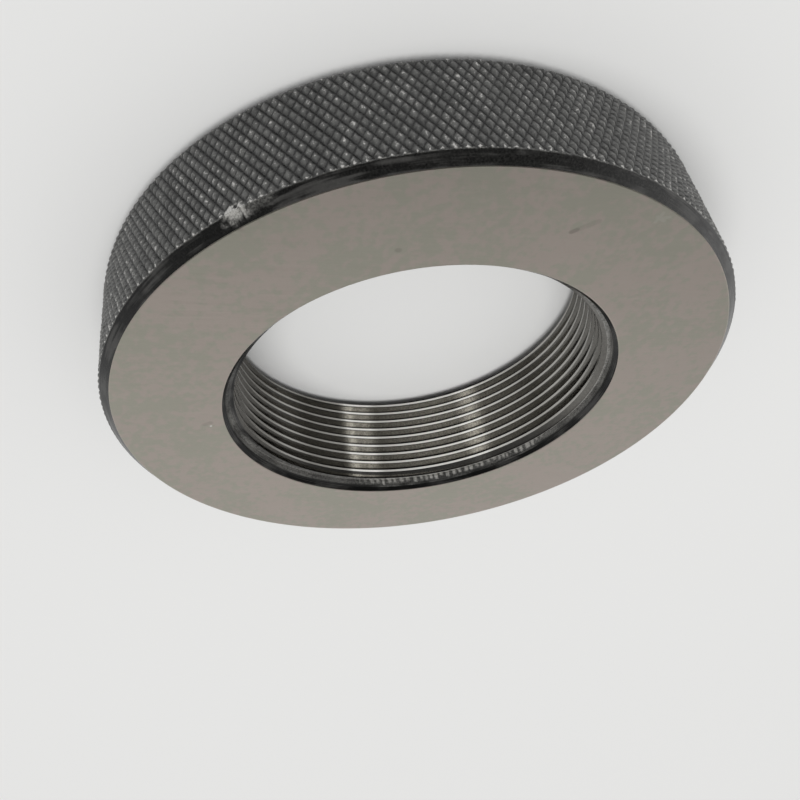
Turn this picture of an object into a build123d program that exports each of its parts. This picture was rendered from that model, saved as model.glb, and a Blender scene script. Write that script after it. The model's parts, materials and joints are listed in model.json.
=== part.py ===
from build123d import *
import math
import os

# Thread ring gauge: one hardened steel ring, ground on both faces, knurled round the outside
# and threaded right through with a fine right-hand metric thread.
# Axis +Z. It lies on its lower face, with the origin at the centre of the bore on that face.

# Blank
outside_diameter = 162.0
ring_thickness = 32.0
outer_chamfer = 2.8

# Diamond knurl on the rim: the main grooves, every fourth of the real 216 each way, cut by a 98 degree V
knurl_grooves = 54
knurl_angle = 30.0
knurl_depth = 0.75
knurl_groove_width = 1.75
knurl_overrun = 2.0

# Both mouths of the bore: a small chamfer, then a plain recess that clears the thread's start
mouth_diameter = 102.9
mouth_chamfer = 1.0
upper_recess_depth = 3.45
lower_recess_depth = 2.1

# Thread M100 x 3: groove centre on the +X side at thread_start_height, rising anticlockwise
thread_diameter = 100.0
thread_pitch = 3.0
thread_start_height = -2.54
thread_turns = 12
cutter_overlap = 0.6

# Form of a 60 degree internal thread: crest flat P/4, and flanks that run on past the major diameter
# to a sharp vee, which is the root clearance of a ring gauge
sharp_height = thread_pitch * 3 ** 0.5 / 2
major_radius = thread_diameter / 2
minor_radius = major_radius - sharp_height * 5 / 8
vee_radius = major_radius + sharp_height / 8
mouth_half_width = (vee_radius - minor_radius + cutter_overlap) / 3 ** 0.5

outer_radius = outside_diameter / 2
face_radius = outer_radius - outer_chamfer
mouth_radius = mouth_diameter / 2
recess_radius = mouth_radius - mouth_chamfer

# The knurl's helix climbs steeply: knurl_angle is measured from the axis
knurl_lead = 2 * math.pi * outer_radius / math.tan(math.radians(knurl_angle))
knurl_flare = 1 + cutter_overlap / knurl_depth

# Cutter for one knurl groove that leans to the left, and its mirror image
with BuildPart() as left_knurl_groove:
    with BuildLine() as knurl_path:
        Helix(
            pitch=knurl_lead,
            height=ring_thickness + 2 * knurl_overrun,
            radius=outer_radius,
            center=(0, 0, -knurl_overrun),
        )
    with BuildSketch(Plane(origin=knurl_path.line @ 0, x_dir=(1, 0, 0), z_dir=knurl_path.line % 0)):
        with BuildLine():
            Polyline(
                (cutter_overlap, -knurl_groove_width / 2 * knurl_flare),
                (-knurl_depth, 0),
                (cutter_overlap, knurl_groove_width / 2 * knurl_flare),
                close=True,
            )
        make_face()
    sweep(is_frenet=True)

with BuildPart() as right_knurl_groove:
    mirror(left_knurl_groove.part, about=Plane.XZ)

# The cutter that one turn of the thread groove takes, centred on height 0
with BuildPart() as groove_turn:
    with BuildLine():
        Helix(pitch=thread_pitch, height=thread_pitch, radius=minor_radius)
    with BuildSketch(Plane.XZ):
        with BuildLine():
            Polyline(
                (minor_radius - cutter_overlap, -mouth_half_width),
                (vee_radius, 0),
                (minor_radius - cutter_overlap, mouth_half_width),
                close=True,
            )
        make_face()
    sweep(is_frenet=True)

with BuildPart() as gauge_ring:
    # Ring section: outer chamfers, mouth chamfers, the two recesses and the crest cylinder
    with BuildSketch(Plane.XZ):
        with BuildLine():
            Polyline(
                (mouth_radius, 0),
                (face_radius, 0),
                (outer_radius, outer_chamfer),
                (outer_radius, ring_thickness - outer_chamfer),
                (face_radius, ring_thickness),
                (mouth_radius, ring_thickness),
                (recess_radius, ring_thickness - mouth_chamfer),
                (recess_radius, ring_thickness - upper_recess_depth),
                (minor_radius, ring_thickness - upper_recess_depth),
                (minor_radius, lower_recess_depth),
                (recess_radius, lower_recess_depth),
                (recess_radius, mouth_chamfer),
                close=True,
            )
        make_face()
    revolve(axis=Axis.Z)

    # Knurl: both sets of grooves run out through the chamfers
    with PolarLocations(0, knurl_grooves):
        add(left_knurl_groove.part, mode=Mode.SUBTRACT)
        add(right_knurl_groove.part, mode=Mode.SUBTRACT)

    # Thread groove, turn above turn, from one recess to the other
    turn_heights = [thread_start_height + turn * thread_pitch for turn in range(thread_turns)]
    with Locations([(0, 0, height) for height in turn_heights]):
        add(groove_turn.part, mode=Mode.SUBTRACT)

gauge_ring.part.label = "gauge_ring"

os.makedirs("parts", exist_ok=True)
export_step(gauge_ring.part, "parts/gauge_ring.step")
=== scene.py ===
import bmesh
import bpy
import json
import math
import numpy as np
from mathutils import Matrix, Vector


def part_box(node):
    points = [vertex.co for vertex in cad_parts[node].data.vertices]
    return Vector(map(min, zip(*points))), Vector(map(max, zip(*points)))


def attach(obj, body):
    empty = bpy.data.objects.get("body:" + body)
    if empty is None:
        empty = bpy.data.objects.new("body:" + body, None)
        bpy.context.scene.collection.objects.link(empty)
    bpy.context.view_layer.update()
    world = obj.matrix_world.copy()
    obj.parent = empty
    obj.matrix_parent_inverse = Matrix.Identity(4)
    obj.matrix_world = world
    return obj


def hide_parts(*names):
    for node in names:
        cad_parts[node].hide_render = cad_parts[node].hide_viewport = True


# Thread ring gauge: the visual skin of one hardened steel ring, and a plain studio round it.
# Lengths in the dictionaries are millimetres, angles are degrees anticlockwise from +X.

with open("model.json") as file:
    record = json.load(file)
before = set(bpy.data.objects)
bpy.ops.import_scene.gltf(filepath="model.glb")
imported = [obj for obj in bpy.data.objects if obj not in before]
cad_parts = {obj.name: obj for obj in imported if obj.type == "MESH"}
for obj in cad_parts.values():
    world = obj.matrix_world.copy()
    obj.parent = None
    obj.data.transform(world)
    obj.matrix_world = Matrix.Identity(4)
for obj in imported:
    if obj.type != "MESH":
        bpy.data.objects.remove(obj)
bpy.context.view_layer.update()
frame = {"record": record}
mm = 0.001
noiseCells = 97                         # a noise repeats after so many cells

ringLow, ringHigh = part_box("gauge_ring")
threadMount = next(m for m in frame["record"]["mounts"] if m["name"] == "thread")


def softStep(low, high, value):
    # 0 below low, 1 above high, and 3t^2 - 2t^3 between
    t = np.clip((value - low) / (high - low), 0.0, 1.0)
    return t * t * (3.0 - 2.0 * t)


def valueNoise(u, v, seed):
    # random heights on a square lattice, eased between its points; 0 to 1
    table = np.random.default_rng(seed).random((noiseCells, noiseCells))
    column, row = np.floor(u).astype(int), np.floor(v).astype(int)
    fu, fv = softStep(0.0, 1.0, u - column), softStep(0.0, 1.0, v - row)
    left, right = column % noiseCells, (column + 1) % noiseCells
    low, high = row % noiseCells, (row + 1) % noiseCells
    near = table[left, low] * (1 - fu) + table[right, low] * fu
    far = table[left, high] * (1 - fu) + table[right, high] * fu
    return near * (1 - fv) + far * fv


body = {
    "outerRadius": ringHigh.x / mm,     # over the knurl's points
    "thickness": (ringHigh.z - ringLow.z) / mm,
    "outerChamfer": 2.8,
    "mouthRadius": 51.45,
    "mouthChamfer": 1.0,
    "upperRecess": 3.45,                # depth of the plain recess at the top
    "lowerRecess": 2.1,
    "brokenEdge": 0.12,                 # width of the small flat on each ground edge
    "wallBreak": 0.06,                  # the same where the recess wall meets its chamfer
    "rub": 0.105,                       # how far handling has worn the outer chamfers
    "rubSide": 0.3,                     # by what share more on the -X side, and less on the +X side
    "faceRows": (3.0, 1.6),             # rows of points on the top face, inwards from its edge
    "chamferRows": 7,
    "lowerChamferRows": 3,
    "chamferGap": 0.08,                 # between a chamfer's last row and the knurl's first
    "wallRows": 6,
    "sharpAngle": 17.0,                 # edges that turn by more than this are shaded sharp
}

knurl = {
    "teethRound": 216,
    "grooveAngle": 30.0,                # between the grooves and the axis
    "depth": 0.75,
    "flat": 0.14,                       # share of half a diamond that is worn flat
    "phase": 1.0,                       # where the rows start, in half diamonds
    "shallow": 0.45,                    # how much less deep one set of grooves is than the other
    "leftSide": 312.0,                  # middle of the side where the right-hand grooves are the shallow ones
    "sideFade": 0.5,                    # how softly the sides change over, as a cosine
    "ridge": 0.5,                       # how much wear and painted highlight runs on along the ridges that they leave
    "wobble": 0.22,                     # most that single diamonds fall short of the full height
    "torn": 0.2,                        # share of the depth by which single spots are torn or pushed up
    "tornLevel": 0.6,                   # noise above this is pushed up, below it torn
    "wobbleNoise": (0.83, 0),           # cells in half a diamond, and how far past the seed
    "tornNoise": (1.9, 4),
    "ridgeNoise": ((0.61, 2, 0.7, 0.5), (2.3, 6, 0.65, 0.7)),       # the same, with its least and its spread
    "edgeWidth": 0.24,                  # of the bright outline that the chamfer leaves on each diamond
    "edgeRise": (0.35, 0.8),            # and the share of the height over which it fades in
    "edgeBare": (0.65, 0.55),           # its least wear, and how much more the most worn diamond has
    "edgeDraw": 10,                     # how far past the seed that draw is
    "serrated": (0.0, 0.09, 0.18, 0.28, 0.38, 0.48, 0.6, 0.75),    # rows below the upper chamfer
    "lowSerrated": (0.0, 0.2, 0.45, 0.75),
    "rowGap": 0.09,                     # least distance between the rows
    "seed": 21,
}

bruise = {
    "azimuth": 290.4,
    "halfWidth": 4.4,
    "height": 29.5,
    "halfHeight": 3.2,
    "depth": 0.28,
    "sink": (0.75, 0.5),                # shares of the depth that go inwards and down
    "core": 0.9,
    "corePower": 1.7,
    "coreFade": (0.15, 1.15),           # from the middle, in half widths
    "halo": 0.3,
    "haloShift": -3.5,
    "haloWidth": 8.0,
    "haloFade": (0.2, 1.3),
    "ragged": 0.5,                      # how uneven the border is
    "borderNoise": ((1.1, 1.1, 0), (3.1, 2.3, 4)),      # cells a millimetre along and up, and past the seed
    "borderStart": (50, 20),
    "roughNoise": ((2.3, 9, 1.0, 1), (5.1, 3, 0.5, 2)), # cells, start, share, and past the seed
    "roughDepth": (0.35, 0.9),          # least share of the depth, and what the noise adds
    "faceFade": (29.8, 31.6),           # heights between which the wear thins out towards the face
    "faceThin": 0.6,
    "crush": 1.15,                      # how fully the knurl is crushed, cut off at 1
    "crushedHeight": (0.45, 0.4),       # what stays of the knurl's depth, and the lumps on it
    "lumpNoise": (2.7, 3),
    "arc": 1.41,                        # of the rim in one degree, for the noises
    "spread": 2.2,                      # half widths over which the rim has points at every angle
    "seed": 5,
}

finishes = {"ground": 0, "turned": 1, "knurled": 2, "threaded": 3}

faceRadius = body["outerRadius"] - body["outerChamfer"]
recessRadius = body["mouthRadius"] - body["mouthChamfer"]
edgeSlope = body["brokenEdge"] / math.sqrt(2)
upperFloor = body["thickness"] - body["upperRecess"]
lowerFloor = body["lowerRecess"]
wallTop = body["thickness"] - body["mouthChamfer"]
knurlRoot = body["outerRadius"] - knurl["depth"]
knurlHigh = body["thickness"] - (body["outerChamfer"] - knurl["depth"])
knurlLow = body["thickness"] - knurlHigh
chamferEnd = body["outerChamfer"] - knurl["depth"] - body["chamferGap"]
toothWidth = 2 * math.pi * body["outerRadius"] / knurl["teethRound"]
toothHeight = toothWidth / math.tan(math.radians(knurl["grooveAngle"]))

# Angles: every half tooth, and two more in each half tooth at the edges of the worn flats
marksPerHalf = np.array([0.0, knurl["flat"], 1.0 - knurl["flat"]])
halfTooth = math.pi / knurl["teethRound"]
halfTeeth = np.arange(2 * knurl["teethRound"])
fineAngles = ((halfTeeth[:, None] + marksPerHalf) * halfTooth).ravel()
evenKeep = np.arange(fineAngles.size) % marksPerHalf.size == 0
bruiseSpan = np.degrees(bruise["spread"] * bruise["halfWidth"] / body["outerRadius"])
rimKeep = evenKeep | (np.abs(np.degrees(fineAngles) - bruise["azimuth"]) < bruiseSpan)
evenAngles = fineAngles[evenKeep]
rimAngles = fineAngles[rimKeep]
toothAngles = evenAngles[::2]

skin = {"points": [], "tip": [], "bare": [], "paintedHighlight": [], "faces": [], "finish": [], "count": 0}


def bruiseAmount(angle, height):
    # 1 inside an ellipse on the unrolled rim, easing to 0 outside it, with an uneven border;
    # the halo is a wider, fainter ellipse, set to one side, and the stronger of the two counts
    along = (np.degrees(angle) - bruise["azimuth"]) * math.pi / 180 * body["outerRadius"]
    across = (height - bruise["height"]) / bruise["halfHeight"]
    startAlong, startUp = bruise["borderStart"]
    ragged = 0.0
    for cellsAlong, cellsUp, step in bruise["borderNoise"]:
        noise = valueNoise(along * cellsAlong + startAlong, height * cellsUp + startUp, bruise["seed"] + step)
        ragged = ragged + bruise["ragged"] * (noise - 0.5)
    beside = (along - bruise["haloShift"]) / bruise["haloWidth"]
    core = 1.0 - softStep(*bruise["coreFade"], np.hypot(along / bruise["halfWidth"], across) + ragged)
    halo = 1.0 - softStep(*bruise["haloFade"], np.hypot(beside, across) + ragged)
    return np.maximum(bruise["core"] * core ** bruise["corePower"], bruise["halo"] * halo)


chatter = {
    "start": 58.0,
    "end": 137.0,
    "fade": 14.0,
    "barAngle": 2.05,
    "depth": 0.05,
    "drift": 1.1,                       # most that the bars stray from their even places, in bars
    "driftSpan": 7.0,                   # each span is the angle of one cell of a noise
    "barRise": (0.05, 0.25),            # where in its own space a bar starts
    "barFall": (0.40, 0.62),            # and where the narrowest one ends
    "barSpread": 0.3,                   # how much wider the widest one is
    "reach": (0.6, 1.1),                # height of the shortest bar, and how much taller the tallest one is
    "reachFade": (-0.5, 0.3),
    "weakest": 0.4,                     # strength of the weakest bar
    "drawn": 400,                       # bars that are drawn before they repeat
    "line": 0.4,                        # strength of the bright line along the top
    "lineFade": (0.75, 0.3),            # distances from the mouth's chamfer over which it comes in
    "lineLeast": 0.25,
    "lineSpan": 2.6,
    "veil": 0.27,                       # bare metal that shows on the recess wall
    "clearVeil": 0.22,                  # and how much more of it away from the bars
    "clearAngle": 42.0,
    "veilSpan": 5.0,
    "veilPatches": (0.75, 0.5),         # its least share, and what the noise adds
    "veilFade": (1.3, 2.2),             # heights over the recess floor between which it ends
    "seed": 11,
}


def barAmount(azimuth, height):
    # bars that stand on the recess floor: a soft box in each bar's own space, with its width, height and
    # strength drawn at random, two draws of the five being spare
    drift = chatter["drift"] * valueNoise(azimuth / chatter["driftSpan"], 0.0, chatter["seed"])
    turn = azimuth / chatter["barAngle"] + drift
    bar = np.floor(turn).astype(int)
    draw = np.random.default_rng(chatter["seed"]).random((5, chatter["drawn"]))
    width, tall, _, strong, _ = draw[:, bar % chatter["drawn"]]
    within = turn - bar
    fallFrom, fallTo = [fall + chatter["barSpread"] * width for fall in chatter["barFall"]]
    wide = softStep(*chatter["barRise"], within) * (1.0 - softStep(fallFrom, fallTo, within))
    reach = upperFloor + chatter["reach"][0] + chatter["reach"][1] * tall
    above = softStep(reach + chatter["reachFade"][0], reach + chatter["reachFade"][1], height)
    return wide * (1.0 - above) * (chatter["weakest"] + (1.0 - chatter["weakest"]) * strong)


def chatterAmount(angle, height):
    # bare metal on the recess wall: the bars and a bright top line between two ends, over a patchy grey veil;
    # the line, the veil and the bars' drift take rows 5, 3 and 0 of one noise
    azimuth = np.degrees(angle)
    line = softStep(*[wallTop - away for away in chatter["lineFade"]], height)
    lineNoise = valueNoise(azimuth / chatter["lineSpan"], 5.0, chatter["seed"])
    line = line * (chatter["lineLeast"] + (1.0 - chatter["lineLeast"]) * lineNoise)
    ends = softStep(chatter["start"], chatter["start"] + chatter["fade"], azimuth)
    ends = ends * (1.0 - softStep(chatter["end"] - chatter["fade"], chatter["end"], azimuth))
    middle = (chatter["start"] + chatter["end"]) / 2
    aside = 1.0 - np.exp(-((azimuth - middle) / chatter["clearAngle"]) ** 2)
    veil = chatter["veil"] + chatter["clearVeil"] * aside
    veil = veil * (1.0 - softStep(*[upperFloor + rise for rise in chatter["veilFade"]], height))
    least, spread = chatter["veilPatches"]
    veil = veil * (least + spread * valueNoise(azimuth / chatter["veilSpan"], 3.0, chatter["seed"]))
    return np.clip(ends * np.maximum(barAmount(azimuth, height), chatter["line"] * line) + veil, 0.0, 1.0)


def addRing(angles, radius, height, tip=0.0, bare=0.0, paintedHighlight=0.0):
    # points at (radius cos a, radius sin a, height); radius and height may change with the angle
    shape = np.zeros_like(angles)
    radius, height = radius + shape, height + shape
    points = np.stack([radius * np.cos(angles), radius * np.sin(angles), height], axis=1)
    skin["points"].append(points)
    skin["tip"].append(tip + shape)
    skin["bare"].append(bare + shape)
    skin["paintedHighlight"].append(paintedHighlight + shape)
    first = skin["count"]
    skin["count"] += len(angles)
    return first + np.arange(len(angles))


def addFaces(corners, finish):
    # corners: one row of point numbers for each face
    skin["faces"].append(corners)
    skin["finish"].append(np.zeros(len(corners), int) + finish)


def joinEven(first, second, finish):
    # quads between two rings with the same angles, second ring further along the outline
    after, beyond = np.roll(first, -1), np.roll(second, -1)
    addFaces(np.stack([first, second, beyond, after], axis=1), finishes[finish])


def joinFan(coarse, fine, keep, finish, coarseFirst):
    # a triangle on every fine edge, fanned from the coarse point before it, and one on every coarse edge;
    # keep marks the fine points that stand beside a coarse one
    parent = np.cumsum(keep) - 1
    ends = fine[np.roll(np.flatnonzero(keep), -1)]
    nextFine, nextCoarse = np.roll(fine, -1), np.roll(coarse, -1)
    if coarseFirst:
        addFaces(np.stack([coarse[parent], fine, nextFine], axis=1), finishes[finish])
        addFaces(np.stack([coarse, ends, nextCoarse], axis=1), finishes[finish])
    else:
        addFaces(np.stack([fine, coarse[parent], nextFine], axis=1), finishes[finish])
        addFaces(np.stack([coarse, nextCoarse, ends], axis=1), finishes[finish])


def rubAmount(angles):
    # rub * (1 - side * cos a)
    return body["rub"] * (1.0 - body["rubSide"] * np.cos(angles))


def rimPoint(angles, radius, height):
    # a point of the chamfer, sunk by depth * amount * (least + spread * noise) where the rim is bruised
    amount = bruiseAmount(angles, height)
    arc = np.degrees(angles) * bruise["arc"]
    rough = 0.0
    for cells, start, share, step in bruise["roughNoise"]:
        rough = rough + share * valueNoise(arc * cells, height * cells + start, bruise["seed"] + step)
    least, spread = bruise["roughDepth"]
    sunk = bruise["depth"] * amount * (least + spread * rough)
    inwards, down = bruise["sink"]
    return radius - sunk * inwards, height - sunk * down, amount


def knurlNoise(u, v, cells, step):
    # value noise with that many cells in half a diamond, from the knurl's seed and a step past it
    return valueNoise(u * cells, v * cells, knurl["seed"] + step)


def knurlRow(angles, height):
    # pyramids in diamond rows: 1 - |u| - |v| from each point, cut off at the flat and by the chamfers
    u = angles / halfTooth
    v = height / (toothHeight / 2) + knurl["phase"]
    du = np.abs((u + 1.0) % 2.0 - 1.0)
    dv = np.abs((v + 1.0) % 2.0 - 1.0)
    rise = np.minimum(np.abs(1.0 - du - dv) / (1.0 - knurl["flat"]), 1.0)

    # how near each point is to a left-hand and to a right-hand ridge, and which of them runs on unbroken here
    left = 1.0 - np.abs((u + v + 1.0) % 2.0 - 1.0)
    right = 1.0 - np.abs((u - v + 1.0) % 2.0 - 1.0)
    share = np.cos(angles - math.radians(knurl["leftSide"]))
    share = softStep(-knurl["sideFade"], knurl["sideFade"], share)
    running = share * left + (1.0 - share) * right
    rise = rise + (1.0 - rise) * knurl["shallow"] * running
    # the ridge value is partly wear and partly painted highlight on the ridges that run on unbroken on each
    # side
    ridge = running * (knurl["ridge"] + (1.0 - knurl["ridge"]) * (left + right - running))
    for cells, step, least, spread in knurl["ridgeNoise"]:
        ridge = ridge * (least + spread * knurlNoise(u, v, cells, step))

    # height of the diamonds: rise * (1 - wobble * noise + torn * finer noise), crushed flatter in the bruise
    torn = knurl["torn"] * (knurlNoise(u, v, *knurl["tornNoise"]) - knurl["tornLevel"])
    uneven = 1.0 - knurl["wobble"] * knurlNoise(u, v, *knurl["wobbleNoise"]) + torn
    radius = knurlRoot + knurl["depth"] * np.minimum(rise * uneven, 1.0)
    amount = bruiseAmount(angles, height)
    cells, step = bruise["lumpNoise"]
    lumps = valueNoise(np.degrees(angles) * bruise["arc"] * cells, height * cells, bruise["seed"] + step)
    least, spread = bruise["crushedHeight"]
    crushed = knurlRoot + knurl["depth"] * (least + spread * lumps)
    radius = radius + (crushed - radius) * np.clip(amount * bruise["crush"], 0, 1)
    cone = faceRadius + np.minimum(body["thickness"] - height, height)
    cut = radius > cone

    # the outline that the chamfer leaves on each diamond is scuffed bright
    draw = np.random.default_rng(knurl["seed"] + knurl["edgeDraw"]).random(knurl["teethRound"] + 1)
    toothDraw = draw[np.round(u / 2).astype(int)]
    outline = np.exp(-((knurlRoot + knurl["depth"] * rise - cone) / knurl["edgeWidth"]) ** 2)
    outline = outline * softStep(*knurl["edgeRise"], rise)
    least, spread = knurl["edgeBare"]
    bare = np.maximum(amount, outline * (least + spread * toothDraw))
    bare = np.maximum(np.clip(bare, 0, 1), np.where(cut, rubAmount(angles), 0.0))
    return np.minimum(radius, cone), ridge, bare, cut


def knurlHeights():
    # the rows' heights, top row first: three in each half diamond, and closer rows where the edge is serrated
    half = toothHeight / 2
    count = math.ceil(body["thickness"] / half) + 2
    marks = (np.arange(count)[:, None] - knurl["phase"] + marksPerHalf).ravel() * half
    upper, lower = knurlHigh - np.array(knurl["serrated"]), knurlLow + np.array(knurl["lowSerrated"])
    extra = np.concatenate([upper, lower])
    clear = np.abs(marks[:, None] - extra).min(axis=1) > knurl["rowGap"]
    marks = marks[clear & (marks < knurlHigh) & (marks > knurlLow)]
    return np.sort(np.concatenate([marks, extra]))[::-1]


thread = {
    "pitch": 3.0,
    "crestRadius": threadMount["dims"]["r_mm"],
    "veeRadius": 50.325,                # the sharp root, past the major diameter
    "crestHalf": 0.375,                 # half the width of the flat on a crest
    "crestBreak": 0.05,
    "grooveHeight": -2.54,              # middle of the groove on the +X side
    # angle, spread and strength of each band of painted highlight across the thread
    "highlightBands": [
        (61.5, 3.2, 1.0), (66.5, 5.0, 0.72), (107.0, 6.0, 0.88), (96.0, 36.0, 0.5),
        (146.0, 24.0, 0.22), (33.0, 9.0, 0.18), (255.0, 50.0, 0.35),
    ],
}


def threadProfile(offset):
    # distance from the groove's middle, folded to one pitch: sharp root, 30 degree flank, broken edge, crest
    pitch, crest, vee = thread["pitch"], thread["crestRadius"], thread["veeRadius"]
    away = np.abs((offset + pitch / 2) % pitch - pitch / 2)
    corner = pitch / 2 - thread["crestHalf"]
    chip = thread["crestBreak"]
    slant = (vee - crest) / corner
    return np.interp(
        away, [0.0, corner - chip, corner + chip, pitch / 2], [vee, crest + slant * chip, crest, crest])


def buildTopFace():
    # flat rings from the mouth out to the rim, finer where the rim is bruised
    top, edge = body["thickness"], body["brokenEdge"]
    mouth = addRing(evenAngles, body["mouthRadius"] + edge, top)
    last = mouth
    for inset in body["faceRows"]:
        ring = addRing(evenAngles, faceRadius - inset, top)
        joinEven(last, ring, "ground")
        last = ring
    radius, height, _ = rimPoint(rimAngles, faceRadius - edge, top)
    outer = addRing(rimAngles, radius, height)
    joinFan(last, outer, evenKeep[rimKeep], "ground", True)
    return mouth, outer


def buildUpperChamfer(outer):
    # 45 degree cone: radius = face radius + away, height = top - away, with the bruise sunk into it
    last = outer
    for k, away in enumerate(np.linspace(edgeSlope, chamferEnd, body["chamferRows"])):
        radius, height, amount = rimPoint(rimAngles, faceRadius + away, body["thickness"] - away)
        thinned = amount * (1.0 - bruise["faceThin"] * softStep(*bruise["faceFade"], height))
        ring = addRing(rimAngles, radius, height, bare=np.maximum(thinned, rubAmount(rimAngles)))
        joinEven(last, ring, "ground" if k == 0 else "turned")
        last = ring
    return last


def buildKnurl(chamfer):
    # rows of knurlRow, joined by triangles whose diagonals follow the ridges: they change their lean with
    # every half tooth round and every half diamond up
    heights = knurlHeights()
    rows, cuts = [], []
    for height in heights:
        radius, ridge, bare, cut = knurlRow(fineAngles, height)
        rows.append(addRing(fineAngles, radius, height, tip=ridge, bare=bare))
        cuts.append(cut)
    print("knurl rows", len(rows))

    joinFan(chamfer, rows[0], rimKeep, "turned", True)
    for k in range(len(rows) - 1):
        a, b = rows[k], rows[k + 1]
        a1, b1 = np.roll(a, -1), np.roll(b, -1)
        diamond = math.floor((heights[k] + heights[k + 1]) / toothHeight + knurl["phase"])
        leaning = ((np.arange(a.size) // marksPerHalf.size + diamond) % 2 == 1)[:, None]
        smooth = (cuts[k] & np.roll(cuts[k], -1)) & (cuts[k + 1] | (heights[k] >= knurlHigh))
        finish = np.where(smooth, finishes["turned"], finishes["knurled"])
        addFaces(np.where(leaning, np.stack([a, b, a1], axis=1), np.stack([a, b, b1], axis=1)), finish)
        addFaces(np.where(leaning, np.stack([b, b1, a1], axis=1), np.stack([a, b1, a1], axis=1)), finish)
    return rows[-1]


def buildUnderside(knurlEnd):
    # the lower chamfer, radius = face radius + away, height = away, and the flat bottom face
    last = None
    for away in np.linspace(chamferEnd, edgeSlope, body["lowerChamferRows"]):
        ring = addRing(evenAngles, faceRadius + away, away, bare=rubAmount(evenAngles))
        if last is None:
            joinFan(ring, knurlEnd, evenKeep, "turned", False)
        else:
            joinEven(last, ring, "turned")
        last = ring
    outer = addRing(evenAngles, faceRadius - body["brokenEdge"], 0.0)
    inner = addRing(evenAngles, body["mouthRadius"] + body["brokenEdge"], 0.0)
    joinEven(last, outer, "ground")
    joinEven(outer, inner, "ground")
    return inner


def buildLowerMouth(inner):
    # broken edge, chamfer and recess wall, from the bottom face up to the thread
    last = inner
    outline = [
        (body["mouthRadius"] - edgeSlope, edgeSlope, "ground"),
        (recessRadius, body["mouthChamfer"], "turned"),
        (recessRadius, lowerFloor, "turned"),
    ]
    for radius, height, finish in outline:
        ring = addRing(evenAngles, radius, height)
        joinEven(last, ring, finish)
        last = ring
    return last


def buildThread(lowerWall):
    # Rows follow the helix: height = row + pitch * angle / 360, held between the two recess floors,
    # over one turn that ends where the next row up begins. Each pitch has five rows: the root, and both
    # ends of the broken edge on either side of the crest
    pitch = thread["pitch"]
    angles = np.append(toothAngles, 2 * math.pi)
    corner, chip = pitch / 2 - thread["crestHalf"], thread["crestBreak"]
    marks = [0.0, corner - chip, corner + chip, pitch - corner - chip, pitch - corner + chip]
    turns = np.arange(-2, math.ceil(upperFloor / pitch) + 2)
    rowHeights = (turns[:, None] * pitch + thread["grooveHeight"] + marks).ravel()
    rowHeights = rowHeights[rowHeights < upperFloor]
    rowHeights = rowHeights[np.searchsorted(rowHeights, lowerFloor - pitch):]
    climb = pitch * angles / (2 * math.pi)
    heights = np.clip(rowHeights[:, None] + climb, lowerFloor, upperFloor)
    heights = np.vstack([np.full_like(climb, lowerFloor), heights, np.full_like(climb, upperFloor)])
    radii = threadProfile(heights - thread["grooveHeight"] - climb)
    sunk = (radii - thread["crestRadius"]) / (thread["veeRadius"] - thread["crestRadius"])

    # painted highlight: the strongest of the bands, strength * exp(-((a - middle) / spread)^2)
    paintedHighlight = np.zeros_like(angles)
    for middle, spread, strength in thread["highlightBands"]:
        paintedHighlight = np.maximum(paintedHighlight, strength * np.exp(-((np.degrees(angles) - middle) / spread) ** 2))
    rows = [addRing(angles, r, h, tip=d < 1e-6, bare=d, paintedHighlight=paintedHighlight) for r, h, d in zip(radii, heights, sunk)]
    for low, high in zip(rows[:-1], rows[1:]):
        addFaces(np.stack([low[:-1], high[:-1], high[1:], low[1:]], axis=1), finishes["threaded"])
    joinFan(rows[0][:-1], lowerWall, np.arange(lowerWall.size) % 2 == 0, "turned", False)
    print("thread rows", len(rows))
    return rows[-1][:-1]


def buildUpperMouth(threadEnd, mouth):
    # recess floor, the wall with its chatter marks, and the mouth's chamfer and broken edge
    wall = []
    for height in np.linspace(upperFloor, wallTop, body["wallRows"]):
        marks = chatterAmount(fineAngles, height)
        wall.append(addRing(fineAngles, recessRadius + chatter["depth"] * marks, height, bare=marks))
    wall.append(addRing(fineAngles, recessRadius + body["wallBreak"], wallTop + body["wallBreak"]))
    toothKeep = np.arange(fineAngles.size) % (2 * marksPerHalf.size) == 0
    joinFan(threadEnd, wall[0], toothKeep, "turned", True)
    for low, high in zip(wall[:-1], wall[1:]):
        joinEven(low, high, "turned")
    lip = addRing(evenAngles, body["mouthRadius"] - edgeSlope, body["thickness"] - edgeSlope)
    joinFan(lip, wall[-1], evenKeep, "turned", False)
    joinEven(lip, mouth, "ground")


def buildRing():
    # one closed skin, from the top mouth out, down the rim, in along the bottom and back up the bore
    mouth, outer = buildTopFace()
    inner = buildUnderside(buildKnurl(buildUpperChamfer(outer)))
    buildUpperMouth(buildThread(buildLowerMouth(inner)), mouth)
    faces = [list(map(int, corners)) for block in skin["faces"] for corners in block]
    mesh = bpy.data.meshes.new("ringSkin")
    mesh.from_pydata((np.concatenate(skin["points"]) * mm).tolist(), [], faces)
    for name in ("tip", "bare", "paintedHighlight"):
        values = np.concatenate(skin[name]).astype(np.float32)
        mesh.attributes.new(name, "FLOAT", "POINT").data.foreach_set("value", values)
    mesh.polygons.foreach_set("material_index", np.concatenate(skin["finish"]).astype(np.int32))

    # the thread's rows start and end on shared points, which are merged here
    work = bmesh.new()
    work.from_mesh(mesh)
    bmesh.ops.remove_doubles(work, verts=work.verts, dist=0.0002 * mm)
    loose = [e for e in work.edges if not e.is_manifold]
    triangles = sum(len(f.verts) - 2 for f in work.faces)
    print("points", len(work.verts), "open edges", len(loose), "triangles", triangles)
    work.to_mesh(mesh)
    work.free()
    mesh.shade_smooth()
    mesh.set_sharp_from_angle(angle=math.radians(body["sharpAngle"]))
    piece = bpy.data.objects.new("ring_skin", mesh)
    bpy.context.scene.collection.objects.link(piece)
    return piece


ringSkin = buildRing()
print("ring built")

# Most values of a noise lie between these
noiseRange = (0.3, 0.7)


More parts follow.
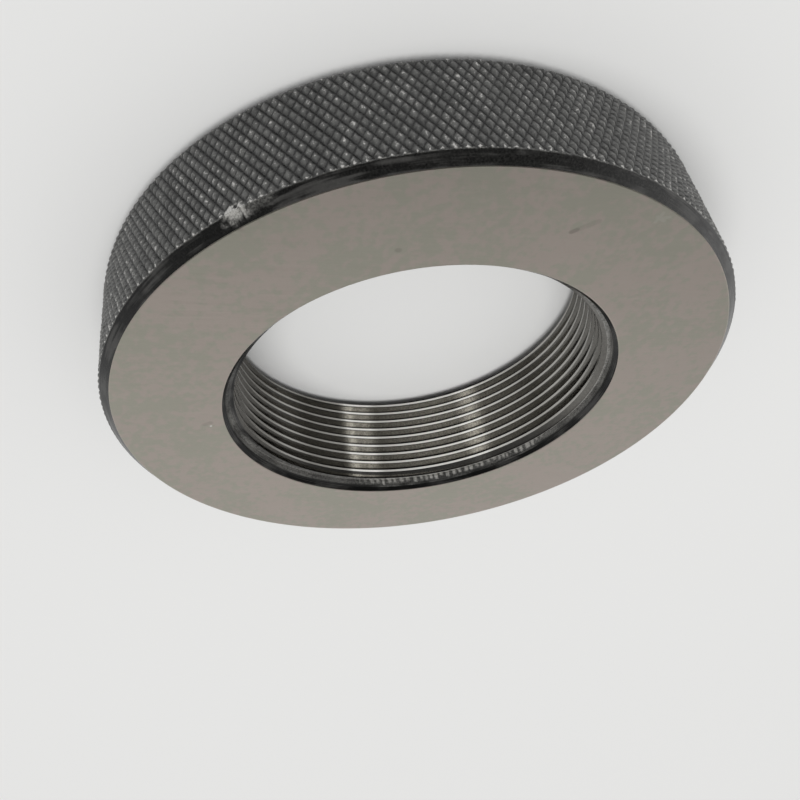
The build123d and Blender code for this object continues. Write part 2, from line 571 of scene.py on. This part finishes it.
def newGroup(name, inputs, outputs):
    # an empty shader node group: a Vector input, the named numbers with their values, and the named outputs
    group = bpy.data.node_groups.new(name, "ShaderNodeTree")
    group.interface.new_socket(name="Vector", in_out="INPUT", socket_type="NodeSocketVector")
    for label, value in inputs:
        kind = "NodeSocketVector" if isinstance(value, tuple) else "NodeSocketFloat"
        socket = group.interface.new_socket(name=label, in_out="INPUT", socket_type=kind)
        socket.default_value = value
    for label in outputs:
        group.interface.new_socket(name=label, in_out="OUTPUT", socket_type="NodeSocketFloat")
    return group, group.nodes.new("NodeGroupInput").outputs, group.nodes.new("NodeGroupOutput").inputs


def addNode(tree, kind, links=(), **settings):
    # links: pairs of (input name or number, value or output socket)
    node = tree.nodes.new(kind)
    for key, value in settings.items():
        setattr(node, key, value)
    for slot, value in links:
        if isinstance(value, bpy.types.NodeSocket):
            tree.links.new(value, node.inputs[slot])
        else:
            node.inputs[slot].default_value = value
    return node


def addMath(tree, operation, a, b=0.0, c=0.0):
    # one sum on plain numbers, such as a + b, a * b or a * b + c
    return addNode(tree, "ShaderNodeMath", [(0, a), (1, b), (2, c)], operation=operation).outputs[0]


def addVectorMath(tree, operation, a, b, output=0):
    # one sum on two vectors
    return addNode(tree, "ShaderNodeVectorMath", [(0, a), (1, b)], operation=operation).outputs[output]


def addRange(tree, value, low, high, newLow=0.0, newHigh=1.0):
    # newLow below low, newHigh above high, and 3t^2 - 2t^3 of the way between
    links = [("Value", value), ("From Min", low), ("From Max", high), ("To Min", newLow), ("To Max", newHigh)]
    return addNode(tree, "ShaderNodeMapRange", links, interpolation_type="SMOOTHSTEP").outputs["Result"]


def addMix(tree, amount, first, second):
    # colour: first * (1 - amount) + second * amount
    links = [(0, amount), (6, first), (7, second)]
    return addNode(tree, "ShaderNodeMix", links, data_type="RGBA").outputs[2]


def addNoise(tree, vector, scale, detail):
    # cloudy noise about 0.5, with that many cells a metre
    links = [("Vector", vector), ("Scale", scale), ("Detail", detail)]
    return addNode(tree, "ShaderNodeTexNoise", links).outputs[0]


def placeGroup(tree, group, where, links=()):
    # a node group in a material, on the given coordinates and with its own values
    return addNode(tree, "ShaderNodeGroup", [("Vector", where), *links], node_tree=group).outputs


def makeGrainGroup():
    # two even cloudy noises, in cells a metre: a coarse one and a fine one
    group, inside, outside = newGroup("metalGrain", [("Coarse", 60.0), ("Fine", 900.0)], ["Cloud", "Speck"])
    group.links.new(addNoise(group, inside["Vector"], inside["Coarse"], 3.0), outside["Cloud"])
    group.links.new(addNoise(group, inside["Vector"], inside["Fine"], 2.0), outside["Speck"])
    return group


def makeTurnedGroup():
    # lines left by a tool that goes round the axis: noise of (Break x / r, Break y / r, Lines (Slant r + z)),
    # which changes slowly round the axis and fast across a face, a cone or a bore
    inputs = [("Lines", 4000.0), ("Break", 3.0), ("Slant", 0.71)]
    group, inside, outside = newGroup("turnedLines", inputs, ["Height"])
    x, y, z = addNode(group, "ShaderNodeSeparateXYZ", [(0, inside["Vector"])]).outputs
    squares = addMath(group, "ADD", addMath(group, "MULTIPLY", x, x), addMath(group, "MULTIPLY", y, y))
    reach = addMath(group, "SQRT", squares)
    along = [addMath(group, "DIVIDE", axis, reach) for axis in (x, y)]
    along = [addMath(group, "MULTIPLY", share, inside["Break"]) for share in along]
    across = addMath(group, "MULTIPLY_ADD", reach, inside["Slant"], z)
    across = addMath(group, "MULTIPLY", across, inside["Lines"])
    vector = addNode(group, "ShaderNodeCombineXYZ", [(0, along[0]), (1, along[1]), (2, across)]).outputs[0]
    group.links.new(addNoise(group, vector, 1.0, 2.0), outside["Height"])
    return group


def makeGroundLines():
    # fine straight lines of a surface grinder: noise of (Along * x, Lines * y, z), turned about the axis
    inputs = [("Turn", 0.5), ("Along", 60.0), ("Lines", 2500.0)]
    group, inside, outside = newGroup("groundLines", inputs, ["Height"])
    links = [("Vector", inside["Vector"]), ("Angle", inside["Turn"])]
    aligned = addNode(group, "ShaderNodeVectorRotate", links, rotation_type="Z_AXIS").outputs[0]
    x, y, z = addNode(group, "ShaderNodeSeparateXYZ", [(0, aligned)]).outputs
    along = addMath(group, "MULTIPLY", x, inside["Along"])
    across = addMath(group, "MULTIPLY", y, inside["Lines"])
    vector = addNode(group, "ShaderNodeCombineXYZ", [(0, along), (1, across), (2, z)]).outputs[0]
    group.links.new(addNoise(group, vector, 1.0, 2.0), outside["Height"])
    return group


def makeWearGroup():
    # how much bare metal shows: wear * (1 + breakup * (2 * noise - 1)), through a soft step
    inputs = [("Wear", 0.0), ("Start", 0.5), ("Soft", 0.3), ("Breakup", 0.4), ("Scale", 1500.0)]
    group, inside, outside = newGroup("wornThrough", inputs, ["Mask"])
    noise = addNoise(group, inside["Vector"], inside["Scale"], 3.0)
    shift = addMath(group, "MULTIPLY", addMath(group, "MULTIPLY_ADD", noise, 2.0, -1.0), inside["Breakup"])
    value = addMath(group, "MULTIPLY", inside["Wear"], addMath(group, "ADD", shift, 1.0))
    end = addMath(group, "ADD", inside["Start"], inside["Soft"])
    group.links.new(addRange(group, value, inside["Start"], end), outside["Mask"])
    return group


def makeMarkGroup():
    # 1 within Core of Half Width from the straight line between Start and End, easing to 0 at Half Width:
    # distance to the point Start + share * (End - Start), with the share held between 0 and 1
    inputs = [("Start", (0, 0, 0)), ("End", (0, 0, 0)), ("Half Width", 0.0002), ("Core", 0.4)]
    group, inside, outside = newGroup("scratchMark", inputs, ["Mask"])
    run = addVectorMath(group, "SUBTRACT", inside["End"], inside["Start"])
    away = addVectorMath(group, "SUBTRACT", inside["Vector"], inside["Start"])
    along = addVectorMath(group, "DOT_PRODUCT", away, run, "Value")
    whole = addVectorMath(group, "DOT_PRODUCT", run, run, "Value")
    share = addNode(group, "ShaderNodeMath", [(0, along), (1, whole)], operation="DIVIDE", use_clamp=True)
    links = [(0, run), ("Scale", share.outputs[0])]
    nearest = addNode(group, "ShaderNodeVectorMath", links, operation="SCALE").outputs[0]
    distance = addVectorMath(group, "DISTANCE", away, nearest, "Value")
    core = addMath(group, "MULTIPLY", inside["Half Width"], inside["Core"])
    group.links.new(addRange(group, distance, core, inside["Half Width"], 1.0, 0.0), outside["Mask"])
    return group


metalGrain = makeGrainGroup()
turnedLines = makeTurnedGroup()
groundLines = makeGroundLines()
wornThrough = makeWearGroup()
scratchMark = makeMarkGroup()


def newMaterial(name):
    # a material with its node tree, its shader and the piece's own coordinates
    material = bpy.data.materials.new(name)
    material.use_nodes = True
    tree = material.node_tree
    shader = tree.nodes["Principled BSDF"]
    where = tree.nodes.new("ShaderNodeTexCoord").outputs["Object"]
    return material, tree, shader, where


def addBump(tree, shader, height, depth):
    # a relief of that many millimetres between heights 0 and 1
    bump = addNode(tree, "ShaderNodeBump", [("Strength", 1.0), ("Distance", depth * mm), ("Height", height)])
    tree.links.new(bump.outputs["Normal"], shader.inputs["Normal"])


def readAttribute(tree, name):
    # one of the skin's own values: tip for ridges and crests, bare for wear and for how deep a thread point
    # lies, from which the thread's root gets painted shade, and the third for the bands of painted highlight
    # on the thread
    return addNode(tree, "ShaderNodeAttribute", attribute_name=name).outputs["Fac"]


# Scales are in cells a metre
ground = {
    "light": (0.592, 0.522, 0.466, 1),
    "dark": (0.526, 0.509, 0.430, 1),
    "cloudFade": (0.43, 0.57),
    "grain": [("Coarse", 55.0), ("Fine", 1400.0)],
    "mottle": [("Coarse", 480.0)],
    "lines": [("Turn", 0.35), ("Lines", 2600.0)],
    "roughness": (0.30, 0.40),
    "roughLines": 0.6,                  # share of the lines in the roughness; specks have the rest
    "bump": 0.004,
    "speckBump": 0.3,
    "stain": (0.20, 0.17, 0.15, 1),
    "stainDepth": 0.55,
    "pale": (0.9, 0.9, 0.85, 1),
    # start, end, half width and strength of each mark on the top face
    "darkMarks": [
        ((-37.1, -52.7), (-38.2, -53.0), 0.85, 0.7),    # scratch
        ((-37.6, -52.8), (-42.5, -54.2), 1.0, 0.25),    # its tail
        ((-1.5, -58.0), (-1.3, -58.1), 0.9, 0.45),      # spot
        ((55.8, -8.3), (54.2, -8.6), 1.0, 0.35),        # smear
    ],
    "paleMarks": [
        ((54.5, -7.1), (54.6, -7.0), 0.4, 1.0),         # speck beside the smear
        ((-54.6, -50.4), (-55.9, -52.6), 0.6, 0.13),    # faint scuffs
        ((-56.4, -50.2), (-54.9, -51.8), 0.6, 0.13),
        ((-57.4, -51.0), (-56.0, -51.2), 0.6, 0.13),
    ],
}


def addMarks(tree, where, marks):
    # the strongest of the marks at each point: strength * mask
    strongest = 0.0
    for start, end, halfWidth, strength in marks:
        start, end = [(x * mm, y * mm, body["thickness"] * mm) for x, y in (start, end)]
        links = [("Start", start), ("End", end), ("Half Width", halfWidth * mm)]
        mask = placeGroup(tree, scratchMark, where, links)["Mask"]
        strongest = addMath(tree, "MAXIMUM", strongest, addMath(tree, "MULTIPLY", mask, strength))
    return strongest


def makeGroundSteel():
    # two close greys mixed by clouds of two sizes, the marks over them, and the grinder's lines in the gloss
    material, tree, shader, where = newMaterial("groundSteel")
    grain = placeGroup(tree, metalGrain, where, ground["grain"])
    mottle = placeGroup(tree, metalGrain, where, ground["mottle"])["Cloud"]
    lines = placeGroup(tree, groundLines, where, ground["lines"])["Height"]
    cloud = addMath(tree, "MULTIPLY", addMath(tree, "ADD", grain["Cloud"], mottle), 0.5)
    color = addMix(tree, addRange(tree, cloud, *ground["cloudFade"]), ground["light"], ground["dark"])
    dark = addMath(tree, "MULTIPLY", addMarks(tree, where, ground["darkMarks"]), ground["stainDepth"])
    color = addMix(tree, dark, color, ground["stain"])
    color = addMix(tree, addMarks(tree, where, ground["paleMarks"]), color, ground["pale"])
    tree.links.new(color, shader.inputs["Base Color"])
    shader.inputs["Metallic"].default_value = 1.0
    specks = addMath(tree, "MULTIPLY", grain["Speck"], 1.0 - ground["roughLines"])
    rough = addMath(tree, "MULTIPLY_ADD", lines, ground["roughLines"], specks)
    tree.links.new(addRange(tree, rough, *noiseRange, *ground["roughness"]), shader.inputs["Roughness"])
    height = addMath(tree, "MULTIPLY_ADD", grain["Speck"], ground["speckBump"], lines)
    addBump(tree, shader, height, ground["bump"])
    return material


turned = {
    "oxide": (0.004, 0.004, 0.0038, 1),
    "wornAndSheen": (0.044, 0.043, 0.041, 1),
    "wornAndSheenFade": (0.23, 0.37),           # of the clouds times the lines
    "bare": (0.52, 0.51, 0.48, 1),
    "mostMetal": 0.35,
    "specular": 0.25,
    "grain": [("Coarse", 120.0), ("Fine", 1800.0)],
    "lines": [("Lines", 5000.0), ("Break", 4.0)],
    "wear": [("Start", 0.04), ("Soft", 1.1), ("Breakup", 1.0), ("Scale", 2400.0)],
    "roughness": (0.22, 0.36),
    "bump": 0.006,
    "bareBump": 4.0,                    # how much rougher the bare spots are
}


def makeTurnedOxide():
    # near-black oxide with paler tool lines, partly worn oxide and partly painted highlight streaks, and bare
    # metal where the skin's bare value breaks through
    material, tree, shader, where = newMaterial("turnedOxide")
    grain = placeGroup(tree, metalGrain, where, turned["grain"])
    lines = placeGroup(tree, turnedLines, where, turned["lines"])["Height"]
    wear = readAttribute(tree, "bare")
    bare = placeGroup(tree, wornThrough, where, [("Wear", wear), *turned["wear"]])["Mask"]
    shader.inputs["Specular IOR Level"].default_value = turned["specular"]
    # paler streaks along the tool lines: partly worn oxide, partly painted highlight
    wornAndSheen = addRange(tree, addMath(tree, "MULTIPLY", grain["Cloud"], lines), *turned["wornAndSheenFade"])
    color = addMix(tree, wornAndSheen, turned["oxide"], turned["wornAndSheen"])
    tree.links.new(addMix(tree, bare, color, turned["bare"]), shader.inputs["Base Color"])
    tree.links.new(addMath(tree, "MULTIPLY", bare, turned["mostMetal"]), shader.inputs["Metallic"])
    tree.links.new(addRange(tree, lines, *noiseRange, *turned["roughness"]), shader.inputs["Roughness"])
    rough = addMath(tree, "MULTIPLY", bare, turned["bareBump"])
    height = addMath(tree, "MULTIPLY_ADD", grain["Speck"], rough, lines)
    addBump(tree, shader, height, turned["bump"])
    return material


knurled = {
    "valley": (0.011, 0.011, 0.011, 1),
    "flank": (0.109, 0.109, 0.105, 1),
    "flankFade": (0.5, 1.25),           # of the ridge, the clouds and the specks together
    "cloudShare": 0.3,
    "speckShare": 0.8,
    "bare": (0.54, 0.53, 0.51, 1),
    "ridgeWearAndHighlight": 0.62,
    "speckWear": 0.25,
    "speckFade": (0.50, 0.68),
    "leastMetal": 0.1,
    "mostMetal": 0.25,                  # scuffed burrs scatter light, so not full metal
    "grain": [("Coarse", 150.0), ("Fine", 2200.0)],
    "wear": [("Start", 0.48), ("Soft", 0.42), ("Breakup", 0.7), ("Scale", 2600.0)],
    "roughness": (0.30, 0.46),
    "bump": 0.14,
}


def makeKnurledOxide():
    # dark oxide valleys and paler ridges, the ridges partly worn and partly a painted highlight, with specks
    # of bare metal along the ridges and on scuffed outlines
    material, tree, shader, where = newMaterial("knurledOxide")
    grain = placeGroup(tree, metalGrain, where, knurled["grain"])
    ridge = readAttribute(tree, "tip")
    wear = addMath(tree, "MULTIPLY", ridge, knurled["ridgeWearAndHighlight"])
    wear = addMath(tree, "MAXIMUM", wear, readAttribute(tree, "bare"))
    specks = addRange(tree, grain["Speck"], *knurled["speckFade"], 0.0, knurled["speckWear"])
    wear = addMath(tree, "ADD", wear, specks)
    bare = placeGroup(tree, wornThrough, where, [("Wear", wear), *knurled["wear"]])["Mask"]
    patchy = addMath(tree, "MULTIPLY", grain["Speck"], knurled["speckShare"])
    patchy = addMath(tree, "MULTIPLY_ADD", grain["Cloud"], knurled["cloudShare"], patchy)
    # paler ridges: partly wear, partly painted highlight
    pale = addRange(tree, addMath(tree, "ADD", ridge, patchy), *knurled["flankFade"])
    color = addMix(tree, pale, knurled["valley"], knurled["flank"])
    tree.links.new(addMix(tree, bare, color, knurled["bare"]), shader.inputs["Base Color"])
    metal = addRange(tree, bare, 0.0, 1.0, knurled["leastMetal"], knurled["mostMetal"])
    tree.links.new(metal, shader.inputs["Metallic"])
    rough = addRange(tree, grain["Speck"], *noiseRange, *knurled["roughness"])
    tree.links.new(rough, shader.inputs["Roughness"])
    addBump(tree, shader, grain["Speck"], knurled["bump"])
    return material


threaded = {
    # the crests are a little paler than the flanks: a painted highlight
    "crest": (0.22, 0.212, 0.195, 1),
    "flank": (0.195, 0.188, 0.172, 1),
    # the root's dark is painted shade in the groove; the grime specks use the same colour
    "root": (0.05, 0.047, 0.043, 1),
    "rootFrom": 0.62,                   # how deep the painted shade of the root starts
    "highlightCrest": (1.0, 0.985, 0.95, 1),
    "highlightFlank": (0.87, 0.845, 0.785, 1),
    "flankPower": 1.3,                  # the flanks take the painted highlight as this power of it
    "crestFactor": 1.6,                 # and the crests this many times, so it shows most on them
    "grime": 0.25,
    "grimeFade": (0.4, 0.62),
    "grain": [("Coarse", 160.0), ("Fine", 1800.0)],
    "lines": [("Lines", 7000.0), ("Break", 5.0)],
    "roughness": (0.15, 0.23),
    "bump": 0.004,
    "speckBump": 0.3,
}


def makeThreadSteel():
    # bright steel with crests a little paler than the flanks as a painted highlight, painted shade down the
    # flanks and at the root, and bands of painted highlight where the highlight value is high
    material, tree, shader, where = newMaterial("threadSteel")
    grain = placeGroup(tree, metalGrain, where, threaded["grain"])
    lines = placeGroup(tree, turnedLines, where, threaded["lines"])["Height"]
    # painted shade: darker towards the sharp root of each groove
    deep = addRange(tree, readAttribute(tree, "bare"), threaded["rootFrom"], 1.0)
    # painted highlight: bright bands across crests and flanks at set angles, standing in for reflections of
    # lights
    paintedHighlight = readAttribute(tree, "paintedHighlight")
    flankHighlight = addMath(tree, "POWER", paintedHighlight, threaded["flankPower"])
    flank = addMix(tree, flankHighlight, threaded["flank"], threaded["highlightFlank"])
    grime = addRange(tree, grain["Speck"], *threaded["grimeFade"], 0.0, threaded["grime"])
    flank = addMix(tree, grime, flank, threaded["root"])
    crestHighlight = addMath(tree, "MULTIPLY", paintedHighlight, threaded["crestFactor"])
    crest = addMix(tree, crestHighlight, threaded["crest"], threaded["highlightCrest"])
    color = addMix(tree, readAttribute(tree, "tip"), addMix(tree, deep, flank, threaded["root"]), crest)
    tree.links.new(color, shader.inputs["Base Color"])
    shader.inputs["Metallic"].default_value = 1.0
    tree.links.new(addRange(tree, lines, *noiseRange, *threaded["roughness"]), shader.inputs["Roughness"])
    height = addMath(tree, "MULTIPLY_ADD", grain["Speck"], threaded["speckBump"], lines)
    addBump(tree, shader, height, threaded["bump"])
    return material


for material in (makeGroundSteel(), makeTurnedOxide(), makeKnurledOxide(), makeThreadSteel()):
    ringSkin.data.materials.append(material)
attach(ringSkin, "root")
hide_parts("gauge_ring")
print("finishes made")

# Sides and heights are parts of a direction of length 1: x, y and z
studio = {
    "floorSize": 12.0,                  # metres
    "floorColor": (0.80, 0.80, 0.79, 1),
    "floorRoughness": 0.9,
    "floorSpecular": 0.1,
    "ambient": 0.46,                    # what matt surfaces receive from all round
    "sun": 1.72,
    "sunAngle": 44.0,
    "sunTilt": (17.0, 6.0),
    "backdrop": (0.80, 0.80, 0.79, 1),
    "dimSide": 0.07,                    # what polished surfaces see by default
    "brightSide": 0.58,                 # and towards the window side, +Y
    "sideFade": (-0.35, 0.95),
    "sideLean": 0.5,                    # how far the bright side leans towards +X
    "riseFade": (0.62, 1.0),            # the bright side fades out over these heights
    "lowWindow": 1.4,                   # a second window, low on the -X side
    "lowWindowSide": (-0.5, -0.95),
    "lowWindowFade": (0.3, 0.6),
    "lowWall": 0.60,                    # pale walls near the floor, all round
    "wallFade": (0.37, 0.52),
}

camera = {
    "place": (0.0, -183.29, 146.07),
    "aim": (13.383, -20.869, 32.0),
    "roll": -171.381,
    "focal": 37.05,
    "sensor": 36.0,
    "shift": (0.0528, -0.0433),
    "clip": (5.0, 50000.0),
}


def makeFloor():
    # one flat square at height 0
    half = studio["floorSize"] / 2
    corners = [(-half, -half, 0), (half, -half, 0), (half, half, 0), (-half, half, 0)]
    mesh = bpy.data.meshes.new("floor")
    mesh.from_pydata(corners, [], [(0, 1, 2, 3)])
    floor = bpy.data.objects.new("floor", mesh)
    bpy.context.scene.collection.objects.link(floor)
    material = bpy.data.materials.new("paleFloor")
    material.use_nodes = True
    shader = material.node_tree.nodes["Principled BSDF"]
    shader.inputs["Base Color"].default_value = studio["floorColor"]
    shader.inputs["Roughness"].default_value = studio["floorRoughness"]
    shader.inputs["Specular IOR Level"].default_value = studio["floorSpecular"]
    mesh.materials.append(material)


def makeWorld():
    # matt surfaces get an even light; polished ones see a dim room with one bright side that is darker
    # towards the top, a second window low on the -X side and pale walls near the floor; the brightest counts
    world = bpy.data.worlds.new("studio")
    world.use_nodes = True
    tree = world.node_tree
    path = tree.nodes.new("ShaderNodeLightPath").outputs
    direction = tree.nodes.new("ShaderNodeTexCoord").outputs["Generated"]
    x, y, z = addNode(tree, "ShaderNodeSeparateXYZ", [(0, direction)]).outputs
    side = addRange(tree, addMath(tree, "MULTIPLY_ADD", x, studio["sideLean"], y), *studio["sideFade"])
    glow = addMath(tree, "MULTIPLY", side, addRange(tree, z, *studio["riseFade"], 1.0, 0.0))
    links = [("Value", glow), ("To Min", studio["dimSide"]), ("To Max", studio["brightSide"])]
    glow = addNode(tree, "ShaderNodeMapRange", links).outputs[0]
    window = addRange(tree, x, *studio["lowWindowSide"])
    window = addMath(tree, "MULTIPLY", window, addRange(tree, z, *studio["lowWindowFade"], 1.0, 0.0))
    glow = addMath(tree, "MAXIMUM", glow, addMath(tree, "MULTIPLY", window, studio["lowWindow"]))
    glow = addMath(tree, "MAXIMUM", glow, addRange(tree, z, *studio["wallFade"], studio["lowWall"], 0.0))
    room = addNode(tree, "ShaderNodeCombineColor", [(0, glow), (1, glow), (2, glow)]).outputs[0]
    plain = (studio["ambient"],) * 3 + (1,)
    color = addMix(tree, path["Is Diffuse Ray"], room, plain)
    color = addMix(tree, path["Is Camera Ray"], color, studio["backdrop"])
    tree.links.new(color, tree.nodes["Background"].inputs["Color"])
    bpy.context.scene.world = world


def addSun():
    # a very wide, soft sun, a little off the vertical; polished surfaces don't see it
    lamp = bpy.data.lights.new("softSun", "SUN")
    lamp.energy, lamp.angle = studio["sun"], math.radians(studio["sunAngle"])
    thing = bpy.data.objects.new("softSun", lamp)
    thing.rotation_euler = [math.radians(a) for a in studio["sunTilt"]] + [0.0]
    thing.visible_glossy = False
    bpy.context.scene.collection.objects.link(thing)


def makeCamera():
    # stands at place, looks at aim, and is rolled about that line
    lens = bpy.data.cameras.new("camera")
    lens.lens, lens.sensor_width = camera["focal"], camera["sensor"]
    lens.shift_x, lens.shift_y = camera["shift"]
    lens.clip_start, lens.clip_end = [distance * mm for distance in camera["clip"]]
    thing = bpy.data.objects.new("camera", lens)
    place, aim = Vector(camera["place"]) * mm, Vector(camera["aim"]) * mm
    roll = Matrix.Rotation(math.radians(-camera["roll"]), 3, "Z")
    turn = (aim - place).to_track_quat("-Z", "Y").to_matrix() @ roll
    thing.matrix_world = Matrix.Translation(place) @ turn.to_4x4()
    bpy.context.scene.collection.objects.link(thing)
    bpy.context.scene.camera = thing


makeFloor()
makeWorld()
addSun()
makeCamera()
bpy.context.scene.view_settings.view_transform = "Standard"
print("studio ready")
